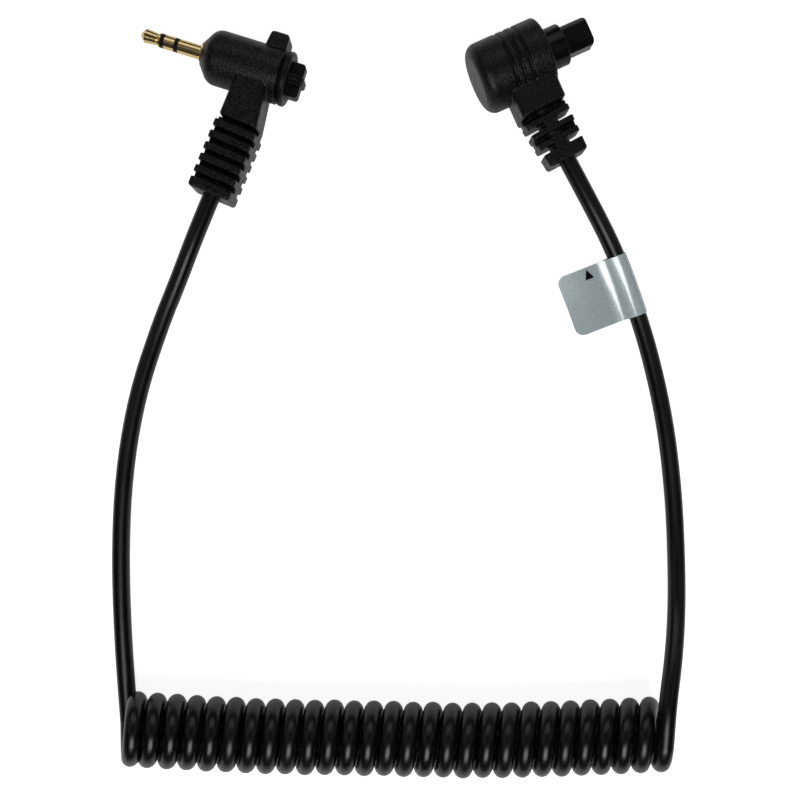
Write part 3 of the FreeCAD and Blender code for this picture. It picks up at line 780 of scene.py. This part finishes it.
class RELEASE_OT_cord(bpy.types.Operator):
    """The whole cord from plug to plug, its curly part wound from the same line"""

    bl_idname = "release.cord"
    bl_label = "Curly cord"

    def execute(self, context):
        cord = context.scene.release_cord
        points = cord_points(cord)
        obj = tube_along("curly_cord", points, cord.diameter / 2, CORD_SIDES)
        give(obj, "cord_jacket", "cord_black", "remote_lead", "cord_coil", "camera_lead")
        self.share_stretch(obj, points)
        return {"FINISHED"}

    def share_stretch(self, obj, points):
        """Bakes the piece's transform into its mesh."""
        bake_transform(obj)


# ---------------------------------------------------------------- label

class RELEASE_OT_label(bpy.types.Operator):
    """Foil flag folded round the camera lead, with its printed arrow"""

    bl_idname = "release.label"
    bl_label = "Flag label"

    def execute(self, context):
        label = context.scene.release_label
        line = cord_points(context.scene.release_cord)
        give(self.flag(label, line), "foil_film", "foil", "flag_label", body=CAMERA)
        give(self.arrow(label, line), "printed_ink", "hard_black", body=CAMERA)
        return {"FINISHED"}

    def flag(self, label, line):
        """One strip, its far corners rounded, folded round the lead and back on itself."""
        half_wrap = math.pi * label.wrap_radius / 2
        strip = 2 * (label.reach + half_wrap)
        nothing_selected()
        bpy.ops.mesh.primitive_plane_add(size=1, location=(0, 0, 0))
        obj = bpy.context.object
        obj.name = "foil_label"
        obj.scale = (strip, label.length, 1)
        bpy.ops.object.transform_apply(location=False, rotation=False, scale=True)
        edit_whole(obj)
        bpy.ops.mesh.bevel(offset=label.corner, offset_type="OFFSET", segments=8, affect="VERTICES")
        wrap_cuts, strip_cuts, length_cuts = 33, 25, 13
        for cut in np.linspace(-half_wrap, half_wrap, wrap_cuts):
            self.bisect(cut, (1, 0, 0))
        for cut in np.linspace(-strip / 2, strip / 2, strip_cuts)[1:-1]:
            if abs(cut) > half_wrap * 1.1:
                self.bisect(cut, (1, 0, 0))
        for cut in np.linspace(-0.5, 0.5, length_cuts)[1:-1]:
            self.bisect(cut * label.length, (0, 1, 0))
        bpy.ops.object.mode_set(mode="OBJECT")
        for vertex in obj.data.vertices:
            vertex.co = self.folded(label, vertex.co)
        lay_on_cord(obj, line, label.at, label.turn)
        face_outwards(obj)
        apply_modifier(obj, "SOLIDIFY", thickness=FOIL_THICK, offset=0)
        work_on(obj)
        bpy.ops.object.shade_smooth_by_angle(angle=FOIL_CREASE)
        return obj

    def bisect(self, cut, normal):
        """Cuts the whole mesh across, at that distance along the normal."""
        bpy.ops.mesh.select_all(action="SELECT")
        place = tuple(cut * n for n in normal)
        bpy.ops.mesh.bisect(plane_co=place, plane_no=normal)

    def folded(self, label, co):
        """A point of the flat strip, folded: the middle goes round the lead, the rest lies together."""
        radius = label.wrap_radius
        quarter = math.pi * radius / 2
        upper = 1 if co.x >= 0 else -1
        run = abs(co.x)
        closing = 0.0018
        if run < quarter:
            angle = run / radius
            return Vector((radius * math.cos(angle), co.y, upper * radius * math.sin(angle)))
        past = run - quarter
        ease = min(past / (radius + closing), 1.0)
        height = FOIL_THICK + (radius - FOIL_THICK) * (0.5 + 0.5 * math.cos(math.pi * ease))
        return Vector((-past, co.y, upper * height + self.sag(label, past, co.y)))

    def sag(self, label, past, y):
        """How far the glued flag stands over its own plane, so far from the lead."""
        return FLAG_SAG * math.sin(math.pi * min(past / label.reach, 1.0)) * (1 + 0.4 * y / label.length)

    def arrow(self, label, line):
        """A small printed arrowhead that points along the lead to the plug."""
        x, y = ARROW_AT
        z = 2 * FOIL_THICK + self.sag(label, -x, y)
        nothing_selected()
        bpy.ops.mesh.primitive_circle_add(
            vertices=3, radius=ARROW_RADIUS, fill_type="NGON", location=(x, y, z))
        obj = bpy.context.object
        obj.name = "label_arrow"
        obj.scale = (0.78, 1, 1)
        bpy.ops.object.transform_apply(location=True, rotation=False, scale=True)
        apply_modifier(obj, "SOLIDIFY", thickness=INK_THICK, offset=0)
        lay_on_cord(obj, line, label.at, label.turn)
        return obj


# ---------------------------------------------------------------- plugs

class RELEASE_OT_jack_plug(bpy.types.Operator):
    """Soft mouldings of the jack plug, and the finishes of its pin and its inside"""

    bl_idname = "release.jack_plug"
    bl_label = "Jack plug"

    def execute(self, context):
        body = moulded_copy("jack_plug_body", "remote_overmould", BODY_VOXEL, 5)
        give(body, "jack_pvc", "soft_black", "remote_overmould", body=REMOTE)
        sleeve = moulded_copy("jack_plug_sleeve", "remote_strain_relief", SLEEVE_VOXEL, 4)
        give(sleeve, "jack_pvc", "soft_black", "remote_strain_relief", body=REMOTE)
        end = moulded_copy("jack_plug_end", "remote_inner_moulding", HARD_VOXEL, 3)
        give(end, "hard_moulding", "hard_black", "remote_inner_moulding", body=REMOTE)
        finish_nodes({
            "gold_plate": ["jack_tip", "jack_ring", "jack_sleeve", "jack_tip_lug", "jack_ring_lug",
                           "jack_sleeve_lug"],
            "acetal": ["jack_tip_insulator", "jack_ring_insulator"],
            "core_red": ["remote_core_shutter"],
            "core_white": ["remote_core_focus"],
            "bare_copper": ["remote_core_common"],
        })
        return {"FINISHED"}


class RELEASE_OT_camera_plug(bpy.types.Operator):
    """Soft mouldings of the camera plug, and the finishes of its nose, collar and inside"""

    bl_idname = "release.camera_plug"
    bl_label = "Camera plug"

    def execute(self, context):
        body = moulded_copy("camera_plug_body", "camera_overmould", BODY_VOXEL, 5)
        give(body, "camera_pvc", "soft_black", "camera_overmould", body=CAMERA)
        sleeve = moulded_copy("camera_plug_sleeve", "camera_strain_relief", SLEEVE_VOXEL, 4)
        give(sleeve, "camera_pvc", "soft_black", "camera_strain_relief", body=CAMERA)
        nose = moulded_copy("camera_plug_nose", "camera_nose", HARD_VOXEL, 2)
        give(nose, "gloss_plastic", "gloss_black", "camera_nose", body=CAMERA)
        finish_nodes({
            "gloss_plastic": ["camera_collar"],
            "hard_moulding": ["camera_inner_moulding"],
            "gold_plate": ["contact_focus", "contact_shutter", "contact_common"],
            "core_red": ["camera_core_shutter"],
            "core_white": ["camera_core_focus"],
            "bare_copper": ["camera_core_common"],
        })
        return {"FINISHED"}


def finish_nodes(plan):
    """Gives CAD nodes that stay in sight their materials."""
    for material, nodes in plan.items():
        for node in nodes:
            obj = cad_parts[node]
            obj.data.materials.clear()
            obj.data.materials.append(finish_of(material))


# ---------------------------------------------------------------- panel

STEPS = (
    RELEASE_OT_stage, RELEASE_OT_cord, RELEASE_OT_label, RELEASE_OT_jack_plug, RELEASE_OT_camera_plug,
)


class RELEASE_PT_panel(bpy.types.Panel):
    """Lists the steps and the sizes of the cable release"""

    bl_label = "Cable Release"
    bl_idname = "RELEASE_PT_panel"
    bl_space_type = "VIEW_3D"
    bl_region_type = "UI"
    bl_category = "Release"

    def draw(self, context):
        layout = self.layout
        for step in STEPS:
            layout.operator(step.bl_idname)
        for name in SETTINGS:
            layout.label(text=name.replace("release_", "").title())
            group = getattr(context.scene, name)
            for key in group.bl_rna.properties.keys():
                if key not in ("rna_type", "name"):
                    layout.prop(group, key)


SETTINGS = {
    "release_stage": StageSettings,
    "release_cord": CordSettings,
    "release_label": LabelSettings,
    "release_finish": FinishSettings,
}
CLASSES = (*SETTINGS.values(), *STEPS, RELEASE_PT_panel)


def register():
    for cls in CLASSES:
        bpy.utils.register_class(cls)
    for name, cls in SETTINGS.items():
        setattr(bpy.types.Scene, name, PointerProperty(type=cls))


def unregister():
    for name in SETTINGS:
        delattr(bpy.types.Scene, name)
    for cls in reversed(CLASSES):
        bpy.utils.unregister_class(cls)


def main():
    register()
    bpy.ops.release.stage()
    bpy.ops.release.cord()
    bpy.ops.release.label()
    bpy.ops.release.jack_plug()
    bpy.ops.release.camera_plug()


if __name__ == "__main__":
    main()
